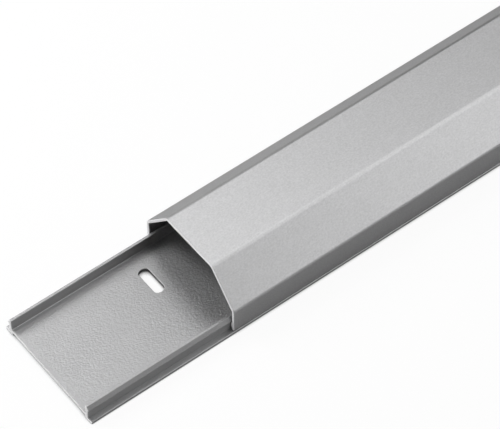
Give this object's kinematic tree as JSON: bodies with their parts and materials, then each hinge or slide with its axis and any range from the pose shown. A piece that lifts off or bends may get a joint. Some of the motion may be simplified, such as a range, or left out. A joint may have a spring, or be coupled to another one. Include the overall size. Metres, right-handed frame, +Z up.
{
  "type": "aluminium cable duct",
  "caption": "Angular aluminium cable duct for a floor, skirting or wall: a slotted base strip and a clip-on cover that slides along it, with room for cables between them.",
  "frame": {"origin": "on the floor, at the middle of the whole box", "axes": "+X along the duct, from the bared end of the base towards the end that the cover overhangs; +Z up, from the base's underside to the cover's flat top"},
  "size_m": [1.16, 0.05, 0.026],
  "materials": {
    "base_aluminium": "satin",
    "cover_aluminium": "satin"
  },
  "bodies": {
    "base": {"base_strip": "base_aluminium"},
    "cover": {"clip_on_cover": "cover_aluminium"}
  },
  "joints": [
    {"name": "cover_slide", "type": "slide", "parent": "base", "child": "cover", "axis": [1, 0, 0], "range_m": [-0.06, 1.045]}
  ]
}
